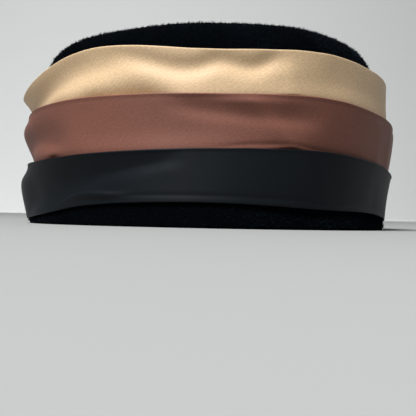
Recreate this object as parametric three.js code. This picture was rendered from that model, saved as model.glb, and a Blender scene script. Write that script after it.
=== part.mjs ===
// Pillbox hat: an oval felt crown, hollow and open at the rim, with three satin bands sewn round it.
// Each lower band overlaps the foot of the band above, and the folded top edges stand free of the felt.
// Millimetres, +Z up, the rim lies on z = 0 and the front of the hat faces -Y.
import * as THREE from "three";
import { mergeVertices } from "three/addons/utils/BufferGeometryUtils.js";

// Driving dimensions
const SECTIONS = 64; // sections round the oval
const OVAL = 1.1; // front-to-back size over side-to-side size
const FELT = 2.5; // thickness of the felt
const SATIN = 1.5; // thickness of a folded band: two plies and the air between them
const SEAT_GAP = 0.3; // clearance between a band's sewn foot and the felt
const REST_GAP = 0.35; // clearance between a band's top edge and the band that it leans on
const OVERLAP = 9; // how far a band's foot runs down behind the next band

// The crown's wall tapers up from a flared rim. All widths are half widths, side to side.
const WALL_HALF_WIDTH = 84;
const RIM_FLARE = 7.5;
const FLARE_HEIGHT = 75;
const CROWN_HEIGHT = 98;

// Share of a band's height that shows, below which its dents fade out towards its foot
const DENTS_FROM = 0.25;

// Points along the profiles
const WALL_STEPS = 6;
const SHOULDER_STEPS = 5;
const DOME_STEPS = 3;
const FACE_STEPS = 8;

// Angles are in degrees from the front, positive towards +X. A row is one section of the crown or of a band.
// top: height where the shoulder ends, shoulder: how far the turn reaches down and in
const CROWN_ROWS = [
  { at: -90, top: 91.6, shoulder: 20 },
  { at: -45, top: 93.6, shoulder: 18 },
  { at: 0, top: 96.6, shoulder: 16 },
  { at: 45, top: 96.4, shoulder: 18 },
  { at: 90, top: 92, shoulder: 17.4 },
  { at: 180, top: 94, shoulder: 17 },
];

// top: height of the folded top edge, out: how far its face stands off the felt,
// belly: how much fuller the band is between its edges, fullest: where, as a share of the height that shows,
// slack: air between it and the band above
const GOLD_ROWS = [
  { at: -90, top: 62.6, out: 11.7, belly: -0.7, fullest: 0.55 },
  { at: -68, top: 70.2, out: 10, belly: -0.1, fullest: 0.5 },
  { at: -36, top: 82.4, out: 9.6, belly: 0, fullest: 0.4 },
  { at: 0, top: 81.4, out: 6.8, belly: 0.2, fullest: 0.4 },
  { at: 36, top: 82.2, out: 8.1, belly: 0, fullest: 0.4 },
  { at: 62, top: 77.2, out: 7.8, belly: 0.2, fullest: 0.5 },
  { at: 90, top: 72.4, out: 7.6, belly: 0, fullest: 0.55 },
  { at: 135, top: 73, out: 7, belly: 0.8, fullest: 0.5 },
  { at: 180, top: 74, out: 6.2, belly: 0.6, fullest: 0.5 },
  { at: 225, top: 69, out: 8.6, belly: 0.6, fullest: 0.5 },
];
const BROWN_ROWS = [
  { at: -90, top: 51, out: 7.6, belly: 4, slack: 0.5, fullest: 0.7 },
  { at: -62, top: 56.2, out: 9.6, belly: 0.6, slack: 1, fullest: 0.6 },
  { at: -36, top: 59.4, out: 9.9, belly: -0.5, slack: 0.3, fullest: 0.4 },
  { at: 0, top: 61, out: 7.7, belly: -1, slack: 0.2, fullest: 0.4 },
  { at: 36, top: 61, out: 10, belly: 0.3, slack: 0.7, fullest: 0.4 },
  { at: 62, top: 55.8, out: 10.4, belly: 0.2, slack: 0.6, fullest: 0.5 },
  { at: 90, top: 50.4, out: 8.9, belly: 2.3, slack: 0.4, fullest: 0.74 },
  { at: 135, top: 52.5, out: 9.6, belly: 1.2, slack: 0.4, fullest: 0.6 },
  { at: 180, top: 54, out: 7.5, belly: 0.8, slack: 0, fullest: 0.55 },
  { at: 225, top: 51.5, out: 9, belly: 2, slack: 0.8, fullest: 0.6 },
];
// bottom: height of the folded lower edge
const BLACK_ROWS = [
  { at: -90, top: 30, out: 4.8, belly: 4.1, slack: 0.2, bottom: 2.5, fullest: 0.74 },
  { at: -62, top: 29.6, out: 9.4, belly: -0.7, slack: 3, bottom: 5.2, fullest: 0.5 },
  { at: -36, top: 33, out: 9, belly: -0.9, slack: 1.2, bottom: 10.2, fullest: 0.5 },
  { at: 0, top: 36, out: 6.2, belly: 0, slack: 0.4, bottom: 12.2, fullest: 0.5 },
  { at: 36, top: 36, out: 7.8, belly: 0.2, slack: 1.2, bottom: 10, fullest: 0.5 },
  { at: 62, top: 31.8, out: 8.4, belly: 0, slack: 0.3, bottom: 8.8, fullest: 0.5 },
  { at: 90, top: 26, out: 8, belly: -1.2, slack: 0.4, bottom: 4.8, fullest: 0.55 },
  { at: 135, top: 27, out: 8, belly: 0.4, slack: 0.2, bottom: 6, fullest: 0.55 },
  { at: 180, top: 29, out: 5.4, belly: 0.2, slack: 0, bottom: 7, fullest: 0.55 },
  { at: 225, top: 28.6, out: 6.6, belly: 2.4, slack: 0.8, bottom: 4.5, fullest: 0.6 },
];

// One dent or fold a row. up: share of the height that shows, span: half width in degrees,
// rise: half height as a share, lean: how much up changes per degree, depth: inwards, below 0 for a ridge
const DENTS = {
  gold: [
    { at: -6, up: 0.62, span: 10, rise: 0.2, lean: -0.008, depth: 1.7 },
    { at: 12, up: 0.72, span: 9, rise: 0.18, lean: 0.006, depth: 1.6 },
    { at: -25, up: 0.1, span: 12, rise: 0.16, lean: 0, depth: 1.4 },
    { at: -46, up: 0.8, span: 14, rise: 0.22, lean: 0.004, depth: 1.2 },
    { at: -58, up: 0.36, span: 12, rise: 0.18, lean: 0.012, depth: -1.1 },
    { at: 150, up: 0.6, span: 14, rise: 0.25, lean: 0.006, depth: 1.2 },
    { at: 205, up: 0.55, span: 16, rise: 0.25, lean: -0.006, depth: 1.3 },
  ],
  brown: [
    { at: -62, up: 0.55, span: 9, rise: 0.3, lean: 0, depth: 1.4 },
    { at: 8, up: 0.84, span: 18, rise: 0.14, lean: 0, depth: 0.9 },
    { at: 48, up: 0.4, span: 10, rise: 0.3, lean: 0.01, depth: 0.9 },
    { at: 165, up: 0.5, span: 14, rise: 0.25, lean: 0.008, depth: 1.1 },
  ],
  black: [
    { at: -44, up: 0.8, span: 15, rise: 0.22, lean: 0.008, depth: 1.1 },
    { at: -46, up: 0.16, span: 11, rise: 0.12, lean: 0.012, depth: -1.1 },
    { at: 70, up: 0.5, span: 12, rise: 0.3, lean: 0, depth: 0.9 },
    { at: 190, up: 0.5, span: 14, rise: 0.25, lean: -0.006, depth: 1 },
  ],
};

// A column of a table at any angle: a smooth curve through the rows that closes on itself
function around(rows, column, angle) {
  const count = rows.length;
  const first = rows[0].at;
  const turn = first + ((((angle - first) % 360) + 360) % 360);
  let i = count - 1;
  while (rows[i].at > turn) i -= 1;
  const row = (k) => ({
    at: rows[((k % count) + count) % count].at + 360 * Math.floor(k / count),
    value: rows[((k % count) + count) % count][column],
  });
  const [before, start, end, after] = [row(i - 1), row(i), row(i + 1), row(i + 2)];
  const width = end.at - start.at;
  const startSlope = (end.value - before.value) / (end.at - before.at);
  const endSlope = (after.value - start.value) / (after.at - start.at);
  const t = (turn - start.at) / width;
  const rest = 1 - t;
  return (
    start.value * rest * rest * (1 + 2 * t) +
    end.value * t * t * (3 - 2 * t) +
    width * (startSlope * t * rest * rest - endSlope * t * t * rest)
  );
}

// The felt wall's outer half width at a height
function feltHalfWidth(z) {
  const left = Math.max(0, 1 - z / FLARE_HEIGHT);
  return WALL_HALF_WIDTH + RIM_FLARE * left * left;
}

// An outer profile, listed upwards, moved inwards by a distance
function inset(profile, distance) {
  return profile.map((point, i) => {
    const before = profile[Math.max(0, i - 1)];
    const after = profile[Math.min(profile.length - 1, i + 1)];
    const along = after.clone().sub(before).normalize();
    return new THREE.Vector2(point.x - along.y * distance, point.y + along.x * distance);
  });
}

// The crown's outer face at one angle, from the rim up to the centre of the top
function crownFace(angle) {
  const top = around(CROWN_ROWS, "top", angle);
  const shoulder = around(CROWN_ROWS, "shoulder", angle);
  const wallTop = top - shoulder;
  const turnWidth = feltHalfWidth(wallTop);
  const flatWidth = turnWidth - shoulder;
  const face = [];
  for (let i = 0; i < WALL_STEPS; i += 1) {
    const z = (wallTop * i) / WALL_STEPS;
    face.push(new THREE.Vector2(feltHalfWidth(z), z));
  }
  for (let i = 0; i < SHOULDER_STEPS; i += 1) {
    const turn = (Math.PI / 2) * (i / SHOULDER_STEPS);
    face.push(new THREE.Vector2(flatWidth + shoulder * Math.cos(turn), wallTop + shoulder * Math.sin(turn)));
  }
  for (let i = 0; i <= DOME_STEPS; i += 1) {
    const share = 1 - i / DOME_STEPS;
    face.push(new THREE.Vector2(flatWidth * share, top + (CROWN_HEIGHT - top) * (1 - share * share)));
  }
  return face;
}

// The crown's whole section: down the inner face, across the rim and up the outer face
function crownSection(angle) {
  const outer = crownFace(angle);
  const inner = inset(outer, FELT);
  inner[0].set(outer[0].x - FELT, 0);
  inner[inner.length - 1].set(0, CROWN_HEIGHT - FELT);
  return [...inner.reverse(), ...outer];
}

// How far the dents and folds of a band move its face outwards
function dentOut(dents, angle, up) {
  let out = 0;
  for (const dent of dents) {
    const aside = ((((angle - dent.at) % 360) + 540) % 360) - 180;
    const away = (up - dent.up - dent.lean * aside) / dent.rise;
    const side = aside / dent.span;
    out -= dent.depth * Math.exp(-side * side - away * away);
  }
  return out;
}

// The outer face of a band at one angle, from its foot up to its folded top edge
function bandFace(band, angle) {
  const topZ = around(band.rows, "top", angle);
  const topWidth = feltHalfWidth(topZ) + around(band.rows, "out", angle);
  const below = band.next;
  const showsFrom = below ? around(below.rows, "top", angle) : around(band.rows, "bottom", angle);
  const footZ = below ? showsFrom - OVERLAP : showsFrom;
  const foot = new THREE.Vector2(feltHalfWidth(footZ) + SEAT_GAP + SATIN, footZ);
  const through = [foot];
  if (below) {
    const leans = around(below.rows, "out", angle) - SATIN - REST_GAP - around(below.rows, "slack", angle);
    through.push(new THREE.Vector2(feltHalfWidth(showsFrom) + leans, showsFrom));
  }
  const top = new THREE.Vector2(topWidth, topZ);
  const belly = through.at(-1).clone().lerp(top, around(band.rows, "fullest", angle));
  belly.x += around(band.rows, "belly", angle);
  through.push(belly, top);
  const face = new THREE.SplineCurve(through).getSpacedPoints(FACE_STEPS);
  for (const point of face) {
    const up = (point.y - showsFrom) / (topZ - showsFrom);
    const fade = THREE.MathUtils.clamp(up / DENTS_FROM, 0, 1);
    point.x += dentOut(band.dents, angle, up) * fade;
  }
  return face;
}

// A band's whole section: up the outer face, over the rounded fold, down the inner face and round the foot
function bandSection(band, angle) {
  const outer = bandFace(band, angle);
  const inner = inset(outer, SATIN).reverse();
  const middle = inset(outer, SATIN / 2);
  const fold = middle.at(-1);
  const rise = fold.clone().sub(middle.at(-2)).setLength(SATIN / 2);
  const foot = middle[0];
  const drop = foot.clone().sub(middle[1]).setLength(SATIN / 2);
  return [...outer, fold.clone().add(rise), ...inner, foot.clone().add(drop), outer[0].clone()];
}

// A closed skin through one section for each angle. The lathe gives the grid, the sections give the places.
function loft(sectionAt) {
  const grid = new THREE.LatheGeometry(sectionAt(0), SECTIONS);
  const places = grid.getAttribute("position");
  const count = places.count / (SECTIONS + 1);
  for (let i = 0; i <= SECTIONS; i += 1) {
    const angle = 360 * ((i % SECTIONS) / SECTIONS);
    const turn = THREE.MathUtils.degToRad(angle);
    sectionAt(angle).forEach((point, j) => {
      places.setXYZ(i * count + j, point.x * Math.sin(turn), -OVAL * point.x * Math.cos(turn), point.y);
    });
  }
  grid.deleteAttribute("normal");
  grid.deleteAttribute("uv");
  const skin = mergeVertices(grid);
  skin.computeVertexNormals();
  return skin;
}

// One named mesh of the hat
function piece(name, geometry, color, roughness) {
  const mesh = new THREE.Mesh(geometry, new THREE.MeshStandardMaterial({ color, roughness, metalness: 0 }));
  mesh.name = name;
  return mesh;
}

const black = { rows: BLACK_ROWS, dents: DENTS.black, next: null };
const brown = { rows: BROWN_ROWS, dents: DENTS.brown, next: black };
const gold = { rows: GOLD_ROWS, dents: DENTS.gold, next: brown };

const hat = new THREE.Group();
hat.add(
  piece("felt_crown", loft(crownSection), "#0b0d10", 1),
  piece("satin_band_gold", loft((angle) => bandSection(gold, angle)), "#c9a877", 0.38),
  piece("satin_band_brown", loft((angle) => bandSection(brown, angle)), "#7d4f43", 0.38),
  piece("satin_band_black", loft((angle) => bandSection(black, angle)), "#22262a", 0.36),
);

export default hat;
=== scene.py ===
"""A black felt pillbox hat with three folded satin bands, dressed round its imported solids."""

import math

import bmesh
import bpy
import numpy as np
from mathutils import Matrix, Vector, noise


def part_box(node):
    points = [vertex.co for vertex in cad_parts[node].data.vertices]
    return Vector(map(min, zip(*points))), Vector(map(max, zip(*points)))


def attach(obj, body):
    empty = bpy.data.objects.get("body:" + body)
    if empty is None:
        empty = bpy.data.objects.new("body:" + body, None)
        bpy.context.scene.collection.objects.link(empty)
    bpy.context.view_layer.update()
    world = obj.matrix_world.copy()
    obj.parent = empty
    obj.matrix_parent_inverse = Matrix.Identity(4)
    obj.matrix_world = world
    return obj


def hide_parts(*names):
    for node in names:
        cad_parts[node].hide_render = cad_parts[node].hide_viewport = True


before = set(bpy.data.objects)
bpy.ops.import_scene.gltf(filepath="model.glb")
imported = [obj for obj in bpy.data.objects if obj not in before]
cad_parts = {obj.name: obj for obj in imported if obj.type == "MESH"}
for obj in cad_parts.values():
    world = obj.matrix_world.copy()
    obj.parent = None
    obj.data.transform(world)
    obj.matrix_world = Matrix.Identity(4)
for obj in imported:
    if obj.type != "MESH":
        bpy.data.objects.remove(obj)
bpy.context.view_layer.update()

bl_info = {
    "name": "Pillbox Hat",
    "version": (1, 0, 0),
    "blender": (4, 5, 0),
    "location": "3D View > Sidebar > Hat",
    "description": "A felt pillbox hat with three folded satin bands, on a plain studio stage",
    "category": "Object",
}

MM = 0.001

# The crown's form, in millimetres. Widths are half widths from side to side.
OVAL = 1.1
WALL_HALF_WIDTH = 84.0
RIM_FLARE = 7.5
FLARE_HEIGHT = 75.0
CROWN_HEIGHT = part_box("felt_crown")[1].z / MM

# Shares of the crown's profile, from the rim to the centre of the top
WALL_SHARE = 0.45
SHOULDER_SHARE = 0.25

# Hand blocking leaves the felt uneven, and satin ripples: how far, in millimetres, and how often in a metre
UNEVEN = 0.45
UNEVEN_OFTEN = 38
RIPPLE = 0.16
RIPPLE_OFTEN = 70
NOISE_SEED = 7

# The nap: shares of the profile that it stands on, the grid that it is drawn over, its lean as brushed and
# by chance, its shortest and longest fibre and its mean over the tufts as shares of its length, and how far
# a root is sunk, in millimetres
CROWN_NAP = (WALL_SHARE * 0.8, 0.995)
RIM_NAP = (0.008, WALL_SHARE * 0.13)
NAP_ANGLES = 240
NAP_LEVELS = 60
BRUSHED_LEAN = 0.4
CHANCE_LEAN = 0.4
SHORTEST = 0.6
LONGEST = 1.2
TUFT_MEAN = 0.75
ROOT_DEPTH = 0.2

# How the bands lie, in millimetres
SATIN_WALL = 1.5
SEAT_GAP = 0.3
REST_GAP = 0.35
OVERLAP = 9.0
TUCK = 3.0
LIP_HEIGHT = 0.9

# Shares of a band's height: where its plies start to be pressed together, and where its folds set in
PRESSED_FROM = 0.8
FOLDS_FROM = -0.12
FOLDS_FULL = 0.02

# Room that a trough leaves, in millimetres: off the felt, off the band behind it at this one's top edge,
# and how much more for each millimetre below that edge
FELT_ROOM = 0.1
LAP_ROOM = 0.2
LAP_OPENING = 0.3

# A ridge may rise freely above this share of the height that shows, by up to so many millimetres
RIDGE_FREE_FROM = 0.35
RIDGE_LIMIT = 12

# Degrees past a fold's ends that are still looked at, and over which it fades outside and inside its ends
FOLD_REACH = 20
FADE_OUTSIDE = 8
FADE_INSIDE = 6

# A crease's rounded crest, as a share of its span, and its fade at either end, as a share of the height
CREST = 0.15
CREASE_FADE = 0.2

# Degrees before the back seam between which a strip's lapped end rises
LAP_REACH = 9
LAP_END = 0.5

# Steps along a section: the outer face, a turned fold, the inner face and one span of a spline
FACE_STEPS = 44
FOLD_STEPS = 6
INNER_STEPS = 18
SPLINE_STEPS = 24

# Steps of the spun pieces: up the crown, round the crown and round a band
CROWN_RINGS = 56
CROWN_STEPS = 192
BAND_STEPS = 400

# The paper sweep, in metres: half its width, its height and the bend between floor and wall
PAPER_HALF_WIDTH = 3
PAPER_HEIGHT = 3
PAPER_BEND = 1.2

# Angles are in degrees from the front, positive towards +X. A row is one section.
# top: height where the shoulder ends, shoulder: how far the turn reaches down and in
CROWN_ROWS = (
    {"at": -90, "top": 91.6, "shoulder": 20},
    {"at": -45, "top": 93.6, "shoulder": 18},
    {"at": 0, "top": 96.6, "shoulder": 16},
    {"at": 45, "top": 96.4, "shoulder": 18},
    {"at": 90, "top": 92, "shoulder": 17.4},
    {"at": 180, "top": 94, "shoulder": 17},
)

# top: height of the folded top edge, out: how far its face stands off the felt,
# belly: how much fuller the band is between its edges, fullest: where, as a share of the height that shows,
# slack: air between it and the band above
GOLD_ROWS = (
    {"at": -90, "top": 62.6, "out": 11.7, "belly": -0.7, "fullest": 0.55},
    {"at": -68, "top": 70.2, "out": 10, "belly": -0.1, "fullest": 0.5},
    {"at": -36, "top": 82.4, "out": 9.6, "belly": 0, "fullest": 0.4},
    {"at": 0, "top": 81.4, "out": 6.8, "belly": 0.2, "fullest": 0.4},
    {"at": 36, "top": 82.2, "out": 8.1, "belly": 0, "fullest": 0.4},
    {"at": 62, "top": 77.2, "out": 7.8, "belly": 0.2, "fullest": 0.5},
    {"at": 90, "top": 72.4, "out": 7.6, "belly": 0, "fullest": 0.55},
    {"at": 135, "top": 73, "out": 7, "belly": 0.8, "fullest": 0.5},
    {"at": 180, "top": 74, "out": 6.2, "belly": 0.6, "fullest": 0.5},
    {"at": 225, "top": 69, "out": 8.6, "belly": 0.6, "fullest": 0.5},
)
BROWN_ROWS = (
    {"at": -90, "top": 51, "out": 7.6, "belly": 4, "slack": 0.5, "fullest": 0.7},
    {"at": -62, "top": 56.2, "out": 9.6, "belly": 0.6, "slack": 1, "fullest": 0.6},
    {"at": -36, "top": 59.4, "out": 9.9, "belly": -0.5, "slack": 0.3, "fullest": 0.4},
    {"at": 0, "top": 61, "out": 7.7, "belly": -1, "slack": 0.2, "fullest": 0.4},
    {"at": 36, "top": 61, "out": 10, "belly": 0.3, "slack": 0.7, "fullest": 0.4},
    {"at": 62, "top": 55.8, "out": 10.4, "belly": 0.2, "slack": 0.6, "fullest": 0.5},
    {"at": 90, "top": 50.4, "out": 10.4, "belly": 1.1, "slack": 1.1, "fullest": 0.8},
    {"at": 135, "top": 52.5, "out": 9.6, "belly": 1.2, "slack": 0.4, "fullest": 0.6},
    {"at": 180, "top": 54, "out": 7.5, "belly": 0.8, "slack": 0, "fullest": 0.55},
    {"at": 225, "top": 51.5, "out": 9, "belly": 2, "slack": 0.8, "fullest": 0.6},
)
# bottom: height of the folded lower edge
BLACK_ROWS = (
    {"at": -90, "top": 29, "out": 3.8, "belly": 4.9, "slack": 0, "bottom": 2.5, "fullest": 0.67},
    {"at": -62, "top": 29.6, "out": 9.4, "belly": -0.7, "slack": 3, "bottom": 5.2, "fullest": 0.5},
    {"at": -36, "top": 33, "out": 9, "belly": -0.9, "slack": 1.2, "bottom": 10.2, "fullest": 0.5},
    {"at": 0, "top": 36, "out": 6.2, "belly": 0, "slack": 0.4, "bottom": 12.2, "fullest": 0.5},
    {"at": 36, "top": 36, "out": 7.8, "belly": 0.2, "slack": 1.2, "bottom": 10, "fullest": 0.5},
    {"at": 62, "top": 31.8, "out": 8.4, "belly": 0, "slack": 0.3, "bottom": 8.8, "fullest": 0.5},
    {"at": 90, "top": 26, "out": 8, "belly": -0.4, "slack": 0.4, "bottom": 4.8, "fullest": 0.55},
    {"at": 135, "top": 27, "out": 8, "belly": 0.4, "slack": 0.2, "bottom": 6, "fullest": 0.55},
    {"at": 180, "top": 29, "out": 5.4, "belly": 0.2, "slack": 0, "bottom": 7, "fullest": 0.55},
    {"at": 225, "top": 28.6, "out": 6.6, "belly": 2.4, "slack": 0.8, "bottom": 4.5, "fullest": 0.6},
)

# Troughs that run along a band. line: angle and share of the height that shows, above and below: how far
# the trough reaches to either side of it, as shares, depth: millimetres inwards, below 0 for a ridge
GOLD_LEFT_LINE = ((-84, 0.28), (-68, 0.34), (-56, 0.46), (-48, 0.54), (-40, 0.6), (-28, 0.66))
GOLD_FRONT_LINE = ((-26, 0.78), (-19, 0.7), (-10, 0.58), (-4, 0.6), (3, 0.74), (12, 0.62), (20, 0.8))
GOLD_BACK_LINE = ((120, 0.7), (150, 0.55), (176, 0.7), (205, 0.5), (240, 0.5))
GOLD_FOLDS = (
    {"line": GOLD_LEFT_LINE, "above": 0.4, "below": 0.29, "depth": 3},
    {"line": GOLD_FRONT_LINE, "above": 0.24, "below": 0.22, "depth": 2.3},
    {"line": ((-42, -0.26), (-28, -0.18), (-14, -0.26)), "above": 0.36, "below": 0.2, "depth": 4.8},
    {"line": ((-70, -0.2), (-58, -0.2), (-48, -0.2)), "above": 0.36, "below": 0.2, "depth": 2.6},
    {"line": ((36, 0.5), (62, 0.45), (84, 0.45)), "above": 0.4, "below": 0.36, "depth": 0.6},
    {"line": GOLD_BACK_LINE, "above": 0.25, "below": 0.2, "depth": 1.6},
)
BROWN_FOLDS = (
    {"line": ((-78, 0.42), (-64, 0.42), (-50, 0.3)), "above": 0.32, "below": 0.2, "depth": 2.2},
    {"line": ((-8, 0.82), (4, 0.7), (16, 0.62), (30, 0.6)), "above": 0.26, "below": 0.18, "depth": 1.7},
    {"line": ((6, 0.06), (14, 0.09), (24, 0.1), (34, 0.04)), "above": 0.05, "below": 0.03, "depth": 0.4},
    {"line": ((140, 0.6), (165, 0.5), (200, 0.7)), "above": 0.25, "below": 0.2, "depth": 1.1},
)
BLACK_LEFT_LINE = ((-70, 0.0), (-58, 0.06), (-48, 0.28), (-38, 0.5), (-24, 0.72), (-12, 0.86))
BLACK_RIDGE_LINE = ((-58, -0.02), (-52, 0.1), (-45, 0.2), (-38, 0.22), (-28, 0.16))
BLACK_FOLDS = (
    {"line": BLACK_LEFT_LINE, "above": 0.5, "below": 0.18, "depth": 3.0},
    {"line": BLACK_RIDGE_LINE, "above": 0.05, "below": 0.08, "depth": -1.5},
    {"line": ((-24, 0.13), (0, 0.11), (30, 0.11), (60, 0.11)), "above": 0.05, "below": 0.035, "depth": 0.3},
    {"line": ((150, 0.6), (190, 0.5), (220, 0.6)), "above": 0.25, "below": 0.2, "depth": 1.0},
)

# Creases that run up a band. at: angle at its foot, lean: how many degrees it moves on its way up,
# span: how far it reaches aside in degrees, low and high: shares of the height between which it is strong,
# depth: millimetres inwards, below 0 for a ridge
GOLD_CREASES = (
    {"at": 25, "lean": -1, "span": 7, "low": -0.1, "high": 1.1, "depth": -1.15},
    {"at": -98, "lean": 0, "span": 10, "low": 0.0, "high": 0.7, "depth": 0.6},
    {"at": 118, "lean": 4, "span": 7, "low": 0.0, "high": 1.0, "depth": -0.7},
    {"at": 214, "lean": -4, "span": 8, "low": 0.0, "high": 1.0, "depth": -0.7},
)
BROWN_CREASES = (
    {"at": -55, "lean": 0, "span": 4, "low": -0.3, "high": -0.04, "depth": 3.2},
    {"at": 26, "lean": -15, "span": 8, "low": 0.0, "high": 0.85, "depth": -2.2},
    {"at": 62, "lean": 0, "span": 3, "low": 0.0, "high": 0.8, "depth": -0.5},
    {"at": 73, "lean": 0, "span": 3, "low": 0.0, "high": 0.9, "depth": -0.6},
    {"at": 156, "lean": 6, "span": 8, "low": 0.0, "high": 1.0, "depth": -0.7},
)
BLACK_CREASES = (
    {"at": 62, "lean": 0, "span": 9, "low": 0.0, "high": 1.0, "depth": 0.9},
    {"at": 30, "lean": 0, "span": 9, "low": 0.0, "high": 1.0, "depth": -0.9},
    {"at": 172, "lean": 4, "span": 8, "low": 0.0, "high": 1.0, "depth": -0.6},
)

# next: the band below, gleam: specular level, lip: millimetres that the pressed top edge turns out by,
# tuck: 1 where the bend towards the seam is hidden by the band below, 0 where it starts at that one's edge
BANDS = (
    {
        "name": "black", "rows": BLACK_ROWS, "folds": BLACK_FOLDS, "creases": BLACK_CREASES,
        "next": None, "gleam": 0.11, "lip": 0.25, "tuck": 0,
    },
    {
        "name": "brown", "rows": BROWN_ROWS, "folds": BROWN_FOLDS, "creases": BROWN_CREASES,
        "next": "black", "gleam": 0.14, "lip": 0.25, "tuck": 0,
    },
    {
        "name": "gold", "rows": GOLD_ROWS, "folds": GOLD_FOLDS, "creases": GOLD_CREASES,
        "next": "brown", "gleam": 0.3, "lip": 0.0, "tuck": 1,
    },
)
BAND_NAMED = {band["name"]: band for band in BANDS}


def linear(hex_colour):
    """An sRGB hex colour as linear red, green and blue."""
    parts = [int(hex_colour[i : i + 2], 16) / 255 for i in (1, 3, 5)]
    return tuple(c / 12.92 if c <= 0.04045 else ((c + 0.055) / 1.055) ** 2.4 for c in parts)


def length(name, description, default):
    """A size in metres that a user may change."""
    return bpy.props.FloatProperty(
        name=name, description=description, default=default, subtype="DISTANCE", unit="LENGTH", precision=5
    )


def colour(name, description, hex_colour):
    """A colour that a user may change."""
    return bpy.props.FloatVectorProperty(
        name=name, description=description, default=linear(hex_colour),
        subtype="COLOR", size=3, min=0, max=1,
    )


class PillboxFelt(bpy.types.PropertyGroup):
    """Sizes and colours of the felt crown and its nap."""

    thickness: length("Felt", "Thickness of the blocked felt", 2.5 * MM)
    edge: length("Cut edge", "How far the cut edge of the rim is worn round", 1.1 * MM)
    nap: length("Nap", "Length of the brushed fibres", 1.2 * MM)
    fibre: length("Fibre", "Thickness of one fibre at its root, drawn coarse enough to show", 0.3 * MM)
    tuft: length("Tuft", "Distance between tufts of longer nap", 1.8 * MM)
    crown_fibres: bpy.props.IntProperty(
        name="Crown fibres", description="Fibres on the top and shoulder", default=46000, min=0
    )
    rim_fibres: bpy.props.IntProperty(
        name="Rim fibres", description="Fibres below the lowest band", default=16000, min=0
    )
    # The felt's black is painted darker than its dye, for the shade deep in the pile, and the fibres' black
    # is painted lighter, for the light that raised fibres catch: shaded and lit copies of one black wool
    black: colour("Felt black", "Dyed black wool", "#020406")
    lit_fibre_black: colour("Fibre black", "Raised fibres, which catch a little more light", "#0B1117")
    seed: bpy.props.IntProperty(name="Seed", description="Start of the nap's random draws", default=7)


class PillboxSatin(bpy.types.PropertyGroup):
    """Sizes and colours of the satin bands."""

    ply: length("Ply", "Thickness of one ply of satin", 0.35 * MM)
    fold: length("Fold", "Thickness of the pressed fold at a top edge", 0.9 * MM)
    hem: length("Hem", "Turned-up hem at the lowest edge", 9 * MM)
    lap: length("Lap", "How far the lapped end stands out at the back seam", 0.5 * MM)
    gold_cut: length("Gold cut width", "Width that the gold strip is cut to", 66 * MM)
    brown_cut: length("Brown cut width", "Width that the brown strip is cut to", 72 * MM)
    black_cut: length("Black cut width", "Width that the black strip is cut to", 62 * MM)
    cut_length: length("Cut length", "Length that each strip is cut to", 630 * MM)
    gold: colour("Gold", "Champagne gold satin", "#D3B58F")
    brown: colour("Brown", "Chestnut brown satin", "#7A5044")
    black: colour("Black", "Black satin", "#13171B")


class PillboxStage(bpy.types.PropertyGroup):
    """The floor, the light and the camera."""

    floor: colour("Floor", "Plain pale floor and backdrop", "#989997")
    distance: length("Camera distance", "From the hat's middle to the camera", 0.78)
    eye: length("Eye height", "Camera height above the floor", 8 * MM)
    lens: bpy.props.FloatProperty(
        name="Lens", description="Focal length for a 36 mm wide picture", default=129.4, unit="CAMERA"
    )
    roll: bpy.props.FloatProperty(
        name="Roll", description="How far the camera leans", default=math.radians(1.2), subtype="ANGLE"
    )
    rise: bpy.props.FloatProperty(
        name="Rise", description="How far the view is shifted up, as a share of the picture",
        default=0.007,
    )
    nudge: bpy.props.FloatProperty(
        name="Nudge", description="How far the view is shifted right, as a share of the picture",
        default=0.0038,
    )
    key: bpy.props.FloatProperty(
        name="Key", description="Soft light from the front left", default=160.0,
        subtype="POWER", unit="POWER",
    )
    edge: bpy.props.FloatProperty(
        name="Edge", description="Weak light from the right", default=3.4,
        subtype="POWER", unit="POWER",
    )
    backdrop: bpy.props.FloatProperty(
        name="Backdrop", description="Light on the backdrop, from the left", default=31.0,
        subtype="POWER", unit="POWER",
    )
    fill: bpy.props.FloatProperty(name="Fill", description="Strength of the light all round", default=0.07)
    room: bpy.props.FloatProperty(
        name="Room", description="Brightness that shows past the paper", default=0.5
    )


def curve_through(knots, x):
    """A smooth curve through (x, value) pairs listed by x."""
    last = len(knots) - 1
    i = max(0, min(last - 1, sum(1 for knot in knots if knot[0] <= x) - 1))
    before, start, end, after = knots[max(0, i - 1)], knots[i], knots[i + 1], knots[min(last, i + 2)]
    width = end[0] - start[0]
    start_slope = (end[1] - before[1]) / (end[0] - before[0])
    end_slope = (after[1] - start[1]) / (after[0] - start[0])
    t = max(0.0, min(1.0, (x - start[0]) / width))
    rest = 1 - t
    hold = start[1] * rest * rest * (1 + 2 * t) + end[1] * t * t * (3 - 2 * t)
    return hold + width * (start_slope * t * rest * rest - end_slope * t * t * rest)


def around(rows, column, angle):
    """A column of a table at any angle: a smooth curve through the rows that closes on itself."""
    first = rows[0]["at"]
    turn = first + (angle - first) % 360
    knots = [(row["at"] + 360 * lap, row[column]) for lap in (-1, 0, 1) for row in rows]
    return curve_through(knots, turn)


def smooth_step(low, high, x):
    """0 below low, 1 above high and a soft ramp between them."""
    t = np.clip((x - low) / (high - low), 0, 1)
    return t * t * (3 - 2 * t)


def felt_half_width(z):
    """The felt wall's outer half width at a height."""
    left = max(0.0, 1 - z / FLARE_HEIGHT)
    return WALL_HALF_WIDTH + RIM_FLARE * left * left


def place(half_width, z, angle):
    """A point of the hat, in metres, from its half width, its height and its angle."""
    turn = math.radians(angle)
    return Vector((half_width * math.sin(turn), -OVAL * half_width * math.cos(turn), z)) * MM


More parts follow.
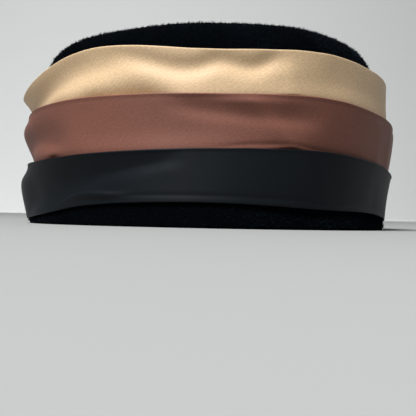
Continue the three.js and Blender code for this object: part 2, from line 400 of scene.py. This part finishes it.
def crown_profile(share, angle):
    """Half width and height of the felt's outer face, from the rim at 0 to the centre of the top at 1."""
    top = around(CROWN_ROWS, "top", angle)
    shoulder = around(CROWN_ROWS, "shoulder", angle)
    wall_top = top - shoulder
    flat = felt_half_width(wall_top) - shoulder
    if share < WALL_SHARE:
        z = wall_top * share / WALL_SHARE
        return felt_half_width(z), z
    if share < WALL_SHARE + SHOULDER_SHARE:
        turn = math.pi / 2 * (share - WALL_SHARE) / SHOULDER_SHARE
        return flat + shoulder * math.cos(turn), wall_top + shoulder * math.sin(turn)
    inwards = (1 - share) / (1 - WALL_SHARE - SHOULDER_SHARE)
    return flat * inwards, top + (CROWN_HEIGHT - top) * (1 - inwards * inwards)


def crown_point(share, angle):
    """A point of the felt's outer face, with the slight unevenness of hand blocking."""
    point = place(*crown_profile(share, angle), angle)
    uneven = UNEVEN * MM * smooth_step(0.0, 0.3, share)
    return point + noise.noise_vector(point * UNEVEN_OFTEN) * uneven


def fold_out(band, angle, up):
    """How far a band's folds and creases move its face outwards, in millimetres."""
    out = np.zeros_like(up)
    for fold in band["folds"]:
        line = fold["line"]
        first, last = line[0][0], line[-1][0]
        turn = first - FOLD_REACH + (angle - first + FOLD_REACH) % 360
        if turn > last + FOLD_REACH:
            continue
        fade = smooth_step(first - FADE_OUTSIDE, first + FADE_INSIDE, turn)
        fade = fade * (1 - smooth_step(last - FADE_INSIDE, last + FADE_OUTSIDE, turn))
        away = up - curve_through(line, turn)
        away /= np.where(away > 0, fold["above"], fold["below"])
        out -= fold["depth"] * fade * np.exp(-away * away)
    for crease in band["creases"]:
        aside = (angle - crease["at"] - crease["lean"] * up + 180) % 360 - 180
        soft = CREST * crease["span"]
        side = (np.hypot(aside, soft) - soft) / crease["span"]
        fade = smooth_step(crease["low"] - CREASE_FADE, crease["low"], up)
        fade *= 1 - smooth_step(crease["high"], crease["high"] + CREASE_FADE, up)
        out -= crease["depth"] * fade * np.exp(-side)
    return out


def spline(points, count):
    """Points spaced evenly along a smooth curve through a few 2D points."""
    fine = []
    guarded = [points[0] * 2 - points[1], *points, points[-1] * 2 - points[-2]]
    for i in range(1, len(guarded) - 2):
        a, b, c, d = guarded[i - 1 : i + 3]
        bend = 2 * a - 5 * b + 4 * c - d
        twist = 3 * b - a - 3 * c + d
        for t in (k / SPLINE_STEPS for k in range(SPLINE_STEPS)):
            fine.append(0.5 * (2 * b + (c - a) * t + bend * t**2 + twist * t**3))
    fine.append(points[-1])
    fine = np.array([tuple(p) for p in fine])
    run = np.concatenate(([0], np.cumsum(np.hypot(*np.diff(fine, axis=0).T))))
    at = np.linspace(0, run[-1], count + 1)
    return np.stack((np.interp(at, run, fine[:, 0]), np.interp(at, run, fine[:, 1])), axis=1)


def inset(profile, distance):
    """An outer profile, listed upwards, moved inwards by a distance at each point."""
    along = np.gradient(profile, axis=0)
    along /= np.hypot(along[:, 0], along[:, 1])[:, None]
    return profile + np.stack((-along[:, 1], along[:, 0]), axis=1) * np.asarray(distance).reshape(-1, 1)


def lap_out(angle, lap):
    """The lapped end of a strip: it stands out more and more up to the seam at the back."""
    from_seam = (180 - angle) % 360
    return lap * (1 - smooth_step(LAP_END, LAP_REACH, from_seam)) if from_seam < LAP_REACH else 0.0


def band_face(band, angle, lap):
    """The outer face of a band at one angle, from its foot to its folded top edge, in millimetres."""
    rows = band["rows"]
    top_z = around(rows, "top", angle)
    top = Vector((felt_half_width(top_z) + around(rows, "out", angle), top_z))
    below = BAND_NAMED.get(band["next"])
    shows_from = around(below["rows"], "top", angle) if below else around(rows, "bottom", angle)
    foot_z = shows_from - OVERLAP if below else shows_from
    through = [Vector((felt_half_width(foot_z) + SEAT_GAP + SATIN_WALL, foot_z))]
    if below:
        leans = around(below["rows"], "out", angle) - SATIN_WALL - REST_GAP
        leans -= around(below["rows"], "slack", angle)
        rest = Vector((felt_half_width(shows_from) + leans, shows_from))
        tucked_z = shows_from - TUCK * band["tuck"]
        tucked = max(leans - REST_GAP * band["tuck"], SATIN_WALL + SEAT_GAP)
        through.append(Vector((felt_half_width(tucked_z) + tucked, tucked_z)))
    else:
        rest = through[0]
    belly = rest.lerp(top, around(rows, "fullest", angle))
    belly.x += around(rows, "belly", angle)
    face = spline([*through, belly, top], FACE_STEPS)
    up = (face[:, 1] - shows_from) / (top_z - shows_from)
    moved = fold_out(band, angle, up) * smooth_step(FOLDS_FROM, FOLDS_FULL, up)
    # A trough stops short of the felt and of the foot of the band that this one laps over
    room = face[:, 0] - [felt_half_width(z) for z in face[:, 1]] - SATIN_WALL - FELT_ROOM
    if "slack" in rows[0]:
        lap_room = around(rows, "slack", angle) + LAP_ROOM
        room = np.minimum(room, lap_room + LAP_OPENING * (top_z - face[:, 1]))
    moved = np.where(moved < 0, -room * np.tanh(-moved / room), moved)
    if below:
        # A ridge stops short of pressing through the band that laps over its foot
        free = RIDGE_LIMIT * smooth_step(0.0, RIDGE_FREE_FROM, up)
        moved = np.minimum(moved, around(below["rows"], "slack", angle) + free)
    # The pressed edge turns outwards a little at the very top
    lip = band["lip"] * smooth_step(top_z - LIP_HEIGHT, top_z, face[:, 1])
    face[:, 0] += moved + lip + lap_out(angle, lap)
    return face


def arc(start, end, steps):
    """Points of a half circle between two points, turning to the left of the way from start to end."""
    middle, spoke = (start + end) / 2, (start - end) / 2
    turns = [math.pi * k / (steps + 1) for k in range(1, steps + 1)]
    side = np.array((-spoke[1], spoke[0]))
    return np.array([middle + spoke * math.cos(t) + side * math.sin(t) for t in turns])


def band_section(band, angle, sizes):
    """The middle line of a folded strip at one angle: hem, outer ply, top fold and inner ply."""
    ply = sizes.ply / MM
    face = band_face(band, angle, sizes.lap / MM)
    outer = inset(face, ply / 2)
    pressing = smooth_step(PRESSED_FROM, 1, np.linspace(0, 1, len(face)))
    pressed = SATIN_WALL - (SATIN_WALL - sizes.fold / MM) * pressing
    inner = inset(face, pressed - ply / 2)[::-1]
    inner = inner[np.linspace(0, FACE_STEPS, INNER_STEPS + 1).astype(int)]
    parts = [outer, arc(outer[-1], inner[0], FOLD_STEPS), inner]
    if band["next"] is None:
        # The hem of the lowest band lies between its two plies
        run = np.concatenate(([0], np.cumsum(np.hypot(*np.diff(face, axis=0).T))))
        hem = inset(face, SATIN_WALL / 2 - ply / 8)[run < sizes.hem / MM][::-1]
        hem = hem[np.linspace(0, len(hem) - 1, FOLD_STEPS).astype(int)]
        parts = [hem, arc(hem[-1], outer[0], FOLD_STEPS), *parts[:2], inner[:-1]]
    return np.concatenate(parts)


def new_piece(name, bm, material):
    """A mesh object from a bmesh, shaded smooth, with its material."""
    for face in bm.faces:
        face.smooth = True
    mesh = bpy.data.meshes.new(name)
    bm.to_mesh(mesh)
    bm.free()
    piece = bpy.data.objects.new(name, mesh)
    bpy.context.scene.collection.objects.link(piece)
    piece.data.materials.append(material)
    return piece


def spun(chain, steps):
    """A bmesh of a chain of points spun once round the hat's axis, with its seam and poles closed."""
    bm = bmesh.new()
    points = [bm.verts.new(point) for point in chain]
    for a, b in zip(points, points[1:]):
        bm.edges.new((a, b))
    bmesh.ops.spin(
        bm, geom=bm.verts[:] + bm.edges[:], cent=(0, 0, 0), axis=(0, 0, 1), dvec=(0, 0, 0),
        angle=math.tau, steps=steps, use_merge=True, use_duplicate=False,
    )
    bmesh.ops.remove_doubles(bm, verts=bm.verts[:], dist=1e-5)
    bmesh.ops.recalc_face_normals(bm, faces=bm.faces[:])
    return bm


def angle_of(point):
    """Degrees from the front, positive towards +X."""
    return math.degrees(math.atan2(point.x, -point.y))


def add_node(nodes, kind, links=(), **settings):
    """A node with its settings. Sockets are set by name, and links come from (socket, output) pairs."""
    node = nodes.new(kind)
    for name, value in settings.items():
        if name.startswith("in_"):
            node.inputs[name[3:].replace("_", " ")].default_value = value
        else:
            setattr(node, name, value)
    for socket, output in links:
        node.id_data.links.new(output, node.inputs[socket])
    return node


def new_material(name):
    """A material with its node tree emptied down to the output."""
    material = bpy.data.materials.new(name)
    material.use_nodes = True
    nodes = material.node_tree.nodes
    nodes.clear()
    return material, nodes, nodes.new("ShaderNodeOutputMaterial")


def satin_material(name, shade, gleam):
    """Woven satin: long floats along the strip give a silky highlight that stretches across them."""
    material, nodes, output = new_material(name)
    uv = add_node(nodes, "ShaderNodeUVMap", uv_map="strip")
    # Floats 0.1 mm wide are too fine to show, so they are drawn about 0.8 mm wide and 1.6 mm long
    floats = add_node(
        nodes, "ShaderNodeMapping", [("Vector", uv.outputs["UV"])],
        in_Scale=(1 / (1.6 * MM), 1 / (0.8 * MM), 1),
    )
    thread = add_node(
        nodes, "ShaderNodeTexNoise", [("Vector", floats.outputs["Vector"])], in_Scale=1.0, in_Detail=2.0
    )
    # The floats' ends step sideways from thread to thread and make slanting lines, drawn 1.5 mm apart so
    # that they show. At a scale of 1, two lines of the wave lie tau / 20 apart.
    slant = add_node(
        nodes, "ShaderNodeMapping", [("Vector", uv.outputs["UV"])], in_Rotation=(0, 0, math.radians(55))
    )
    twill = add_node(
        nodes, "ShaderNodeTexWave", [("Vector", slant.outputs["Vector"])],
        in_Scale=math.tau / 20 / (1.5 * MM), in_Distortion=5.0, in_Detail=2.0, in_Detail_Scale=1.5,
    )
    grain = add_node(
        nodes, "ShaderNodeMix",
        [("A", thread.outputs["Fac"]), ("B", twill.outputs["Fac"])], data_type="FLOAT", in_Factor=0.12,
    )
    # Slow changes of gloss where the cloth has been handled, about 40 mm long and 18 mm wide
    handled = add_node(
        nodes, "ShaderNodeMapping", [("Vector", uv.outputs["UV"])],
        in_Scale=(1 / (40 * MM), 1 / (18 * MM), 1),
    )
    cloud = add_node(
        nodes, "ShaderNodeTexNoise", [("Vector", handled.outputs["Vector"])], in_Scale=1.0, in_Detail=3.0
    )
    tone = add_node(
        nodes, "ShaderNodeMapRange", [("Value", grain.outputs["Result"])],
        in_From_Min=0.25, in_From_Max=0.75, in_To_Min=0.86, in_To_Max=1.14,
    )
    tint = add_node(
        nodes, "ShaderNodeVectorMath", [("Scale", tone.outputs["Result"])],
        operation="SCALE", in_Vector=shade,
    )
    gloss = add_node(
        nodes, "ShaderNodeMapRange", [("Value", cloud.outputs["Fac"])],
        in_From_Min=0.3, in_From_Max=0.7, in_To_Min=0.5, in_To_Max=0.58,
    )
    bump = add_node(
        nodes, "ShaderNodeBump", [("Height", grain.outputs["Result"])],
        in_Strength=0.3, in_Distance=0.12 * MM,
    )
    along = add_node(nodes, "ShaderNodeTangent", direction_type="UV_MAP", uv_map="strip")
    shader = add_node(
        nodes, "ShaderNodeBsdfPrincipled",
        [
            ("Base Color", tint.outputs["Vector"]),
            ("Roughness", gloss.outputs["Result"]),
            ("Normal", bump.outputs["Normal"]),
            ("Tangent", along.outputs["Tangent"]),
        ],
        in_Anisotropic=0.6, in_Anisotropic_Rotation=0.25, in_Specular_IOR_Level=gleam,
    )
    material.node_tree.links.new(shader.outputs["BSDF"], output.inputs["Surface"])
    return material


def felt_material(name, shade, darkest, lightest):
    """Brushed wool felt: a matt pile that drinks light, in darker and lighter tufts."""
    material, nodes, output = new_material(name)
    place_on = add_node(nodes, "ShaderNodeTexCoord")
    # Tufts of nap about 0.8 mm across
    tufts = add_node(
        nodes, "ShaderNodeTexNoise", [("Vector", place_on.outputs["Object"])],
        in_Scale=1 / (0.8 * MM), in_Detail=3.0, in_Roughness=0.6,
    )
    # Brushing leaves patches about 20 mm across that lie one way or another, painted lighter and darker as
    # the sheen of nap lying different ways
    brushed = add_node(
        nodes, "ShaderNodeTexNoise", [("Vector", place_on.outputs["Object"])],
        in_Scale=1 / (20 * MM), in_Detail=2.0,
    )
    # The tone mixes random tufts with the painted sheen of the brushed patches
    mixed = add_node(
        nodes, "ShaderNodeMix",
        [("A", tufts.outputs["Fac"]), ("B", brushed.outputs["Fac"])], data_type="FLOAT", in_Factor=0.4,
    )
    tone = add_node(
        nodes, "ShaderNodeMapRange", [("Value", mixed.outputs["Result"])],
        in_From_Min=0.38, in_From_Max=0.62, in_To_Min=darkest, in_To_Max=lightest,
    )
    tint = add_node(
        nodes, "ShaderNodeVectorMath", [("Scale", tone.outputs["Result"])],
        operation="SCALE", in_Vector=shade,
    )
    bump = add_node(
        nodes, "ShaderNodeBump", [("Height", tufts.outputs["Fac"])], in_Strength=0.6, in_Distance=0.4 * MM
    )
    shader = add_node(
        nodes, "ShaderNodeBsdfPrincipled",
        [("Base Color", tint.outputs["Vector"]), ("Normal", bump.outputs["Normal"])],
        in_Roughness=1.0, in_Specular_IOR_Level=0.02,
    )
    material.node_tree.links.new(shader.outputs["BSDF"], output.inputs["Surface"])
    return material


class PILLBOX_OT_felt_crown(bpy.types.Operator):
    """Block the felt crown: a flared wall, a rounded shoulder and a nearly flat top"""

    bl_idname = "pillbox.felt_crown"
    bl_label = "Felt Crown"

    def execute(self, context):
        sizes = context.scene.pillbox_felt
        # The plain cone's height is the share of the profile that each of its points is moved to
        shares = [k / CROWN_RINGS for k in range(CROWN_RINGS + 1)]
        bm = spun([(1 - share, 0, share) for share in shares], CROWN_STEPS)
        for vert in bm.verts:
            vert.co = crown_point(vert.co.z, angle_of(vert.co))
        bmesh.ops.recalc_face_normals(bm, faces=bm.faces[:])
        if max(bm.faces, key=lambda face: face.calc_center_median().z).normal.z < 0:
            bmesh.ops.reverse_faces(bm, faces=bm.faces[:])
        # The felt's body takes the darker black: painted shade, standing for the shade deep in the pile
        crown = new_piece("crown_felt", bm, felt_material("brushed_black_wool_felt", sizes.black, 0.7, 1.3))
        wall = crown.modifiers.new("felt", "SOLIDIFY")
        wall.thickness = sizes.thickness
        wall.offset = -1
        edge = crown.modifiers.new("worn edge", "BEVEL")
        edge.width = sizes.edge
        edge.segments = 2
        edge.limit_method = "ANGLE"
        edge.angle_limit = math.radians(50)
        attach(crown, "root")
        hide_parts("felt_crown")
        return {"FINISHED"}


def nap_piece(name, count, shares, sizes, draw, material):
    """Brushed fibres standing on the felt between two shares of its profile, as one joined mesh."""
    angles = np.linspace(-180, 180, NAP_ANGLES + 1).tolist()
    levels = np.linspace(*shares, NAP_LEVELS).tolist()
    skin = np.array([[crown_point(share, angle) for angle in angles] for share in levels])
    across = np.gradient(skin, axis=1)
    upwards = np.gradient(skin, axis=0)
    normals = np.cross(across, upwards)
    area = np.linalg.norm(normals, axis=2)
    normals /= np.maximum(area, 1e-12)[:, :, None]
    chosen = draw.choice(area.size, size=count, p=(area / area.sum()).ravel())
    row, column = np.unravel_index(chosen, area.shape)
    jitter = draw.uniform(-0.5, 0.5, (count, 2))
    root = skin[row, column] + across[row, column] * jitter[:, :1] + upwards[row, column] * jitter[:, 1:]
    up = normals[row, column]
    brushed = across[row, column] / np.linalg.norm(across[row, column], axis=1)[:, None]
    lean = up + BRUSHED_LEAN * brushed + draw.normal(0, CHANCE_LEAN, (count, 3))
    lean /= np.linalg.norm(lean, axis=1)[:, None]
    tufts = np.array([noise.noise(Vector(spot) / sizes.tuft) for spot in root.tolist()])
    reach = sizes.nap * (TUFT_MEAN + tufts[:, None]) * draw.uniform(SHORTEST, LONGEST, (count, 1))
    tip = root + lean * reach
    side = np.cross(lean, draw.normal(0, 1, (count, 3)))
    side *= sizes.fibre / 2 / np.linalg.norm(side, axis=1)[:, None]
    other = np.cross(lean, side)
    sunk = root - up * ROOT_DEPTH * MM
    base = [sunk + side, sunk - 0.5 * side + 0.87 * other, sunk - 0.5 * side - 0.87 * other]
    verts = np.stack([*base, tip], axis=1).reshape(-1, 3)
    verts[:, 2] = np.maximum(verts[:, 2], 0.0)
    first = 4 * np.arange(count)[:, None]
    corners = np.array([(0, 2, 1), (0, 1, 3), (1, 2, 3), (2, 0, 3)])
    faces = (first[:, :, None] + corners[None]).reshape(-1, 3)
    mesh = bpy.data.meshes.new(name)
    mesh.from_pydata(verts.tolist(), [], faces.tolist())
    mesh.materials.append(material)
    nap = bpy.data.objects.new(name, mesh)
    bpy.context.scene.collection.objects.link(nap)
    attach(nap, "root")


class PILLBOX_OT_felt_nap(bpy.types.Operator):
    """Raise the brushed nap where the felt shows, above and below the bands"""

    bl_idname = "pillbox.felt_nap"
    bl_label = "Felt Nap"

    def execute(self, context):
        sizes = context.scene.pillbox_felt
        draw = np.random.default_rng(sizes.seed)
        # The fibres take the lighter black: a painted highlight for the light that raised fibres catch
        material = felt_material("brushed_wool_fibre", sizes.lit_fibre_black, 0.25, 2.6)
        nap_piece("crown_nap", sizes.crown_fibres, CROWN_NAP, sizes, draw, material)
        nap_piece("rim_nap", sizes.rim_fibres, RIM_NAP, sizes, draw, material)
        return {"FINISHED"}


def satin_band(band, sizes, material):
    """One band: a strip spun as a plain ring, then laid section by section in its folds."""
    steps = BAND_STEPS
    sections = [band_section(band, 360 * k / steps, sizes) for k in range(steps)]
    count = len(sections[0])
    # Points of the plain ring lie a tenth of its radius apart, so a vertex is known by its height and angle
    bm = spun([(1, 0, k / 10) for k in range(count)], steps)
    ring_of = [round(angle_of(v.co) * steps / 360) % steps for v in bm.verts]
    point_of = [round(v.co.z * 10) for v in bm.verts]
    for vert, ring, point in zip(bm.verts, ring_of, point_of):
        spot = place(*sections[ring][point], 360 * ring / steps)
        # The sewn and hemmed ends lie flat, without ripples
        shown = smooth_step(4, 14, point) * smooth_step(4, 10, count - point)
        vert.co = spot + noise.noise_vector(spot * RIPPLE_OFTEN) * (RIPPLE * MM * shown)
    bmesh.ops.recalc_face_normals(bm, faces=bm.faces[:])
    bm.verts.index_update()
    widest = max(bm.faces, key=lambda face: face.calc_center_median().length_squared)
    if widest.normal.dot(widest.calc_center_median()) < 0:
        bmesh.ops.reverse_faces(bm, faces=bm.faces[:])
    middle = [place(*section[count // 2], 360 * k / steps) for k, section in enumerate(sections)]
    spans = [(b - a).length for a, b in zip(middle, middle[1:] + middle[:1])]
    along = np.concatenate(([0], np.cumsum(spans)))
    across = np.concatenate(([0], np.cumsum(np.hypot(*np.diff(sections[0], axis=0).T)) * MM))
    strip = bm.loops.layers.uv.new("strip")
    for face in bm.faces:
        wraps = max(ring_of[v.index] for v in face.verts) - min(ring_of[v.index] for v in face.verts) > 1
        for loop in face.loops:
            ring = ring_of[loop.vert.index]
            ring = steps if wraps and ring == 0 else ring
            loop[strip].uv = (along[ring], across[point_of[loop.vert.index]])
    piece = new_piece(f"band_{band['name']}_satin", bm, material)
    ply = piece.modifiers.new("ply", "SOLIDIFY")
    ply.thickness = sizes.ply
    ply.offset = 0
    return piece


class PILLBOX_OT_satin_bands(bpy.types.Operator):
    """Fold the three satin strips and lay each round the crown, the lower over the foot of the upper"""

    bl_idname = "pillbox.satin_bands"
    bl_label = "Satin Bands"

    def execute(self, context):
        sizes = context.scene.pillbox_satin
        for band in BANDS:
            name = band["name"]
            material = satin_material(f"{name}_polyester_satin", getattr(sizes, name), band["gleam"])
            piece = satin_band(band, sizes, material)
            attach(piece, "root")
            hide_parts(f"satin_band_{name}")
            getattr(sizes, f"{name}_cut")
        return {"FINISHED"}


def area_light(name, place_at, aim, size, power, tint):
    """A square soft light aimed at a point."""
    data = bpy.data.lights.new(name, "AREA")
    data.size = size
    data.energy = power
    data.color = linear(tint)
    lamp = bpy.data.objects.new(name, data)
    lamp.location = place_at
    lamp.rotation_euler = (Vector(aim) - Vector(place_at)).to_track_quat("-Z", "Y").to_euler()
    bpy.context.scene.collection.objects.link(lamp)


class PILLBOX_OT_stage(bpy.types.Operator):
    """Set the pale floor and backdrop, the soft light and the camera"""

    bl_idname = "pillbox.stage"
    bl_label = "Stage"

    def execute(self, context):
        stage = context.scene.pillbox_stage
        bm = bmesh.new()
        bmesh.ops.create_grid(bm, x_segments=1, y_segments=1, size=PAPER_HALF_WIDTH)
        back = [edge for edge in bm.edges if all(v.co.y > 0 for v in edge.verts)]
        wall = bmesh.ops.extrude_edge_only(bm, edges=back)["geom"]
        rise = [item for item in wall if isinstance(item, bmesh.types.BMVert)]
        bmesh.ops.translate(bm, verts=rise, vec=(0, 0, PAPER_HEIGHT))
        bend = [edge for edge in bm.edges if len(edge.link_faces) == 2]
        bmesh.ops.bevel(
            bm, geom=bend, offset=PAPER_BEND, offset_type="OFFSET", segments=16, profile=0.5,
            affect="EDGES", material=-1,
        )
        material, nodes, output = new_material("matt_pale_paper")
        shader = add_node(
            nodes, "ShaderNodeBsdfPrincipled",
            in_Base_Color=(*stage.floor, 1), in_Roughness=0.9, in_Specular_IOR_Level=0.1,
        )
        material.node_tree.links.new(shader.outputs["BSDF"], output.inputs["Surface"])
        new_piece("paper_sweep", bm, material)

        middle = (0, 0, 0.05)
        area_light("key", (-0.77, -1.43, 2.5), middle, 1.2, stage.key, "#FCFDFF")
        area_light("edge", (1.5, 1.0, 0.8), middle, 0.8, stage.edge, "#F4F8FF")
        area_light("backdrop", (-0.3, 1.5, 0.9), (0.3, 3, 0.2), 1.2, stage.backdrop, "#FBFDFF")

        world = bpy.data.worlds.new("studio")
        world.use_nodes = True
        nodes = world.node_tree.nodes
        background = nodes["Background"]
        background.inputs["Color"].default_value = (0.95, 0.98, 1.0, 1)
        # Past the paper the eye sees a pale room, while the light that it sheds stays weak
        seen = add_node(nodes, "ShaderNodeLightPath")
        room = add_node(
            nodes, "ShaderNodeMapRange", [("Value", seen.outputs["Is Camera Ray"])],
            in_To_Min=stage.fill, in_To_Max=stage.room,
        )
        world.node_tree.links.new(room.outputs["Result"], background.inputs["Strength"])
        context.scene.world = world
        context.scene.view_settings.view_transform = "Standard"

        data = bpy.data.cameras.new("camera")
        data.lens = stage.lens
        data.sensor_width = 36
        data.shift_x = stage.nudge
        data.shift_y = stage.rise
        data.clip_start = 5 * MM
        camera = bpy.data.objects.new("camera", data)
        camera.location = (0, -stage.distance, stage.eye)
        camera.rotation_euler = (math.pi / 2, -stage.roll, 0)
        context.scene.collection.objects.link(camera)
        context.scene.camera = camera
        return {"FINISHED"}


class PILLBOX_PT_panel(bpy.types.Panel):
    """Sizes, colours and makers of the hat"""

    bl_idname = "PILLBOX_PT_panel"
    bl_label = "Pillbox Hat"
    bl_space_type = "VIEW_3D"
    bl_region_type = "UI"
    bl_category = "Hat"

    def draw(self, context):
        scene = context.scene
        for group, makers in (
            (scene.pillbox_felt, (PILLBOX_OT_felt_crown, PILLBOX_OT_felt_nap)),
            (scene.pillbox_satin, (PILLBOX_OT_satin_bands,)),
            (scene.pillbox_stage, (PILLBOX_OT_stage,)),
        ):
            box = self.layout.box()
            for name in group.__annotations__:
                box.prop(group, name)
            for maker in makers:
                box.operator(maker.bl_idname)


CLASSES = (
    PillboxFelt,
    PillboxSatin,
    PillboxStage,
    PILLBOX_OT_felt_crown,
    PILLBOX_OT_felt_nap,
    PILLBOX_OT_satin_bands,
    PILLBOX_OT_stage,
    PILLBOX_PT_panel,
)


def register():
    # Without a seed, vector noise starts from the clock and the hat is uneven in another way each time
    noise.seed_set(NOISE_SEED)
    for cls in CLASSES:
        bpy.utils.register_class(cls)
    bpy.types.Scene.pillbox_felt = bpy.props.PointerProperty(type=PillboxFelt)
    bpy.types.Scene.pillbox_satin = bpy.props.PointerProperty(type=PillboxSatin)
    bpy.types.Scene.pillbox_stage = bpy.props.PointerProperty(type=PillboxStage)


def unregister():
    del bpy.types.Scene.pillbox_stage
    del bpy.types.Scene.pillbox_satin
    del bpy.types.Scene.pillbox_felt
    for cls in reversed(CLASSES):
        bpy.utils.unregister_class(cls)


def main():
    register()
    bpy.ops.pillbox.felt_crown()
    bpy.ops.pillbox.felt_nap()
    bpy.ops.pillbox.satin_bands()
    bpy.ops.pillbox.stage()


if __name__ == "__main__":
    main()
